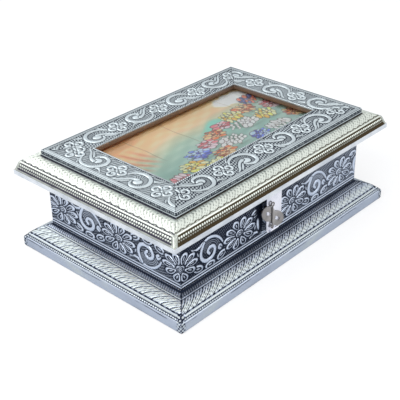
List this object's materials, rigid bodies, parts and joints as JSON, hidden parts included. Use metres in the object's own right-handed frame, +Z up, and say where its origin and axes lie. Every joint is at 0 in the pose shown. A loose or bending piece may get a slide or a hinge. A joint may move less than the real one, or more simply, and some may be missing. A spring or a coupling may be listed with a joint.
{
  "type": "photo box",
  "caption": "Rectangular keepsake box on a moulded plinth, with a hinged lid that frames a glazed picture and a small swinging clasp.",
  "frame": {"origin": "centre of the underside, on the surface the box stands on", "axes": "+X along the long side, -Y towards the front with the clasp, +Z up"},
  "size_m": [0.257, 0.1774, 0.087],
  "materials": {
    "embossed_foil": "embossed sheet, bright on its raised ornament and darkened in its grooves",
    "plain_foil": "smooth bright sheet with slight creases",
    "wood": "unfinished softwood under the foil",
    "board": "plain fibreboard",
    "velvet": "short-pile velvet",
    "print": null,
    "glass": "clear polished sheet",
    "hinge_metal": "dull brass-plated sheet",
    "clasp_metal": "stamped bright sheet"
  },
  "bodies": {
    "box": {"plinth_moulding_front": "wood", "plinth_moulding_back": "wood", "plinth_moulding_left": "wood", "plinth_moulding_right": "wood", "plinth_foil_front": "embossed_foil", "plinth_foil_back": "embossed_foil", "plinth_foil_left": "embossed_foil", "plinth_foil_right": "embossed_foil", "wall_front": "wood", "wall_back": "wood", "wall_left": "wood", "wall_right": "wood", "wall_foil": "embossed_foil", "base_felt": "velvet", "base_board": "board", "lining_floor": "velvet", "lining_front": "velvet", "lining_back": "velvet", "lining_left": "velvet", "lining_right": "velvet", "hinge_leaf_box_left": "hinge_metal", "hinge_leaf_box_right": "hinge_metal", "hinge_pins": "hinge_metal", "hinge_nails_box": "hinge_metal", "stud": "clasp_metal", "stud_plate": "clasp_metal", "stud_nails": "clasp_metal"},
    "lid": {"lid_board": "board", "lid_edge_foil": "plain_foil", "lid_moulding_front": "wood", "lid_moulding_back": "wood", "lid_moulding_left": "wood", "lid_moulding_right": "wood", "lid_foil_front": "embossed_foil", "lid_foil_back": "embossed_foil", "lid_foil_left": "embossed_foil", "lid_foil_right": "embossed_foil", "frame_front": "wood", "frame_back": "wood", "frame_left": "wood", "frame_right": "wood", "frame_foil_front": "embossed_foil", "frame_foil_back": "embossed_foil", "frame_foil_left": "embossed_foil", "frame_foil_right": "embossed_foil", "backing_board": "board", "picture_print": "print", "glass_pane": "glass", "lid_lining": "velvet", "hinge_leaf_lid_left": "hinge_metal", "hinge_leaf_lid_right": "hinge_metal", "hinge_nails_lid": "hinge_metal", "hasp_bracket": "clasp_metal", "hasp_pin": "clasp_metal", "hasp_nails": "clasp_metal"},
    "hasp": {"hasp": "clasp_metal", "hasp_leaf": "clasp_metal", "hasp_staple": "clasp_metal"}
  },
  "joints": [
    {"name": "lid_hinge", "type": "hinge", "parent": "box", "child": "lid", "pos_m": [0, 0.07405, 0.0652], "axis": [-1, 0, 0], "range_deg": [0, 100]},
    {"name": "hasp_hinge", "type": "hinge", "parent": "lid", "child": "hasp", "pos_m": [-0.0085, -0.07525, 0.0655], "axis": [-1, 0, 0], "range_deg": [-3.5, 80]}
  ]
}
